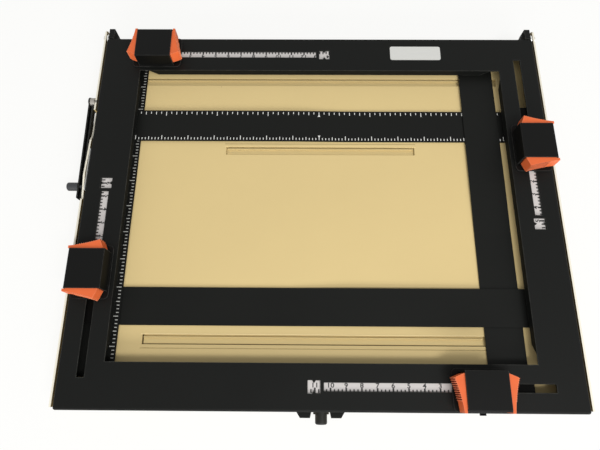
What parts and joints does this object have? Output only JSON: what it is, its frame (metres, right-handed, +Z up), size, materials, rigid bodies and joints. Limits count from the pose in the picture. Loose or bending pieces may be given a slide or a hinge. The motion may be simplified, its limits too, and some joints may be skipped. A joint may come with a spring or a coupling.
{
  "type": "enlarging easel",
  "caption": "Darkroom enlarging easel: a hinged black mask frame with sliding blades and orange squeeze levers over a beige tray for the printing paper.",
  "frame": {"origin": "on the surface the easel stands on, under the middle of its bounding box", "axes": "+X to the right along the longer side, +Y towards the hinge at the rear, +Z up"},
  "size_m": [0.4588, 0.3796, 0.0503],
  "materials": {
    "black_enamel": "satin black stove enamel with a very fine texture",
    "blade_black": "thin satin black blade with fine white graduations",
    "tray_enamel": "matt warm beige enamel",
    "orange_plastic": "moulded orange plastic, satin",
    "bright_steel": "zinc plated steel",
    "spring_steel": "blued spring steel",
    "tape_white": "white enamelled tape with black graduations",
    "silver_plate": "satin silver plate, left blank",
    "dark_knob": "dark grey turned knob",
    "foot_rubber": "black rubber",
    "scale_grey": "light grey strip with fine dark graduations"
  },
  "bodies": {
    "base": {"base_tray": "tray_enamel", "side_rail_left": "tray_enamel", "side_rail_right": "tray_enamel", "feet": "foot_rubber", "foot_screws": "bright_steel", "hinge_pins": "bright_steel", "carrier_straps": "bright_steel", "pivot_stud": "bright_steel", "margin_scale": "scale_grey", "button_bush": "bright_steel"},
    "mask": {"mask_frame": "black_enamel", "name_plate": "silver_plate", "tape_guides": "black_enamel", "hinge_brackets": "black_enamel"},
    "slider_front": {"blade_right": "blade_black", "carriage_front": "black_enamel", "tape_front": "tape_white", "slider_plate_front": "black_enamel", "cap_front": "black_enamel", "lever_spring_front": "spring_steel", "slider_pins_front": "bright_steel"},
    "lever_a_front": {"lever_a_front": "orange_plastic"},
    "lever_b_front": {"lever_b_front": "orange_plastic"},
    "slider_right": {"blade_rear": "blade_black", "carriage_right": "black_enamel", "tape_right": "tape_white", "slider_plate_right": "black_enamel", "cap_right": "black_enamel", "lever_spring_right": "spring_steel", "slider_pins_right": "bright_steel"},
    "lever_a_right": {"lever_a_right": "orange_plastic"},
    "lever_b_right": {"lever_b_right": "orange_plastic"},
    "slider_rear": {"blade_left": "blade_black", "carriage_rear": "black_enamel", "tape_rear": "tape_white", "slider_plate_rear": "black_enamel", "cap_rear": "black_enamel", "lever_spring_rear": "spring_steel", "slider_pins_rear": "bright_steel"},
    "lever_a_rear": {"lever_a_rear": "orange_plastic"},
    "lever_b_rear": {"lever_b_rear": "orange_plastic"},
    "slider_left": {"blade_front": "blade_black", "carriage_left": "black_enamel", "tape_left": "tape_white", "slider_plate_left": "black_enamel", "cap_left": "black_enamel", "lever_spring_left": "spring_steel", "slider_pins_left": "bright_steel"},
    "lever_a_left": {"lever_a_left": "orange_plastic"},
    "lever_b_left": {"lever_b_left": "orange_plastic"},
    "stops": {"rear_stop": "tray_enamel", "middle_stop": "tray_enamel", "front_stop": "tray_enamel", "stop_carrier": "bright_steel"},
    "margin_lever": {"margin_lever": "black_enamel", "lever_knob": "dark_knob"},
    "front_button": {"front_button": "dark_knob", "catch_plate": "bright_steel"}
  },
  "joints": [
    {"name": "frame_hinge", "type": "hinge", "parent": "base", "child": "mask", "pos_m": [0.00735, 0.18145, 0.0233], "axis": [-1, 0, 0], "range_deg": [0, 85]},
    {"name": "slider_front_travel", "type": "slide", "parent": "mask", "child": "slider_front", "axis": [1, 0, 0], "range_m": [-0.115, 0.0381]},
    {"name": "lever_a_front_squeeze", "type": "hinge", "parent": "slider_front", "child": "lever_a_front", "pos_m": [0.15075, -0.17245, 0.0364], "axis": [0, 0, 1], "range_deg": [0, 5.5], "stiffness_Nm_per_rad": 0.1, "springref_deg": -17.19, "deforming": ["lever_spring_front"]},
    {"name": "lever_b_front_squeeze", "type": "hinge", "parent": "slider_front", "child": "lever_b_front", "pos_m": [0.12275, -0.17245, 0.0364], "axis": [0, 0, -1], "range_deg": [0, 5.5], "stiffness_Nm_per_rad": 0.1, "springref_deg": -17.19},
    {"name": "slider_right_travel", "type": "slide", "parent": "mask", "child": "slider_right", "axis": [0, 1, 0], "range_m": [-0.0413, 0.0737]},
    {"name": "lever_a_right_squeeze", "type": "hinge", "parent": "slider_right", "child": "lever_a_right", "pos_m": [0.21615, 0.06795, 0.0364], "axis": [0, 0, 1], "range_deg": [0, 5.5], "stiffness_Nm_per_rad": 0.1, "springref_deg": -17.19, "deforming": ["lever_spring_right"]},
    {"name": "lever_b_right_squeeze", "type": "hinge", "parent": "slider_right", "child": "lever_b_right", "pos_m": [0.21615, 0.03995, 0.0364], "axis": [0, 0, -1], "range_deg": [0, 5.5], "stiffness_Nm_per_rad": 0.1, "springref_deg": -17.19},
    {"name": "slider_rear_travel", "type": "slide", "parent": "mask", "child": "slider_rear", "axis": [-1, 0, 0], "range_m": [-0.1474, 0.0057]},
    {"name": "lever_a_rear_squeeze", "type": "hinge", "parent": "slider_rear", "child": "lever_a_rear", "pos_m": [-0.16845, 0.16895, 0.0364], "axis": [0, 0, 1], "range_deg": [0, 5.5], "stiffness_Nm_per_rad": 0.1, "springref_deg": -17.19, "deforming": ["lever_spring_rear"]},
    {"name": "lever_b_rear_squeeze", "type": "hinge", "parent": "slider_rear", "child": "lever_b_rear", "pos_m": [-0.14045, 0.16895, 0.0364], "axis": [0, 0, -1], "range_deg": [0, 5.5], "stiffness_Nm_per_rad": 0.1, "springref_deg": -17.19},
    {"name": "slider_left_travel", "type": "slide", "parent": "mask", "child": "slider_left", "axis": [0, -1, 0], "range_m": [-0.0505, 0.0645]},
    {"name": "lever_a_left_squeeze", "type": "hinge", "parent": "slider_left", "child": "lever_a_left", "pos_m": [-0.20145, -0.08065, 0.0364], "axis": [0, 0, 1], "range_deg": [0, 5.5], "stiffness_Nm_per_rad": 0.1, "springref_deg": -17.19, "deforming": ["lever_spring_left"]},
    {"name": "lever_b_left_squeeze", "type": "hinge", "parent": "slider_left", "child": "lever_b_left", "pos_m": [-0.20145, -0.05265, 0.0364], "axis": [0, 0, -1], "range_deg": [0, 5.5], "stiffness_Nm_per_rad": 0.1, "springref_deg": -17.19},
    {"name": "margin_lever_turn", "type": "hinge", "parent": "base", "child": "margin_lever", "pos_m": [-0.21645, 0.10545, 0.0263], "axis": [-1, 0, 0], "range_deg": [0, 20]},
    {"name": "stops_travel", "type": "slide", "parent": "base", "child": "stops", "axis": [0, -1, 0], "range_m": [0, 0.00419]},
    {"name": "front_button_press", "type": "slide", "parent": "base", "child": "front_button", "axis": [0, 1, 0], "range_m": [0, 0.004], "stiffness_N_per_m": 600, "springref_m": -0.002}
  ],
  "couplings": [
    {"joint": "lever_b_front_squeeze", "follows": "lever_a_front_squeeze", "ratio": 1},
    {"joint": "lever_b_right_squeeze", "follows": "lever_a_right_squeeze", "ratio": 1},
    {"joint": "lever_b_rear_squeeze", "follows": "lever_a_rear_squeeze", "ratio": 1},
    {"joint": "lever_b_left_squeeze", "follows": "lever_a_left_squeeze", "ratio": 1},
    {"joint": "stops_travel", "follows": "margin_lever_turn", "m_per_rad": 0.012}
  ]
}
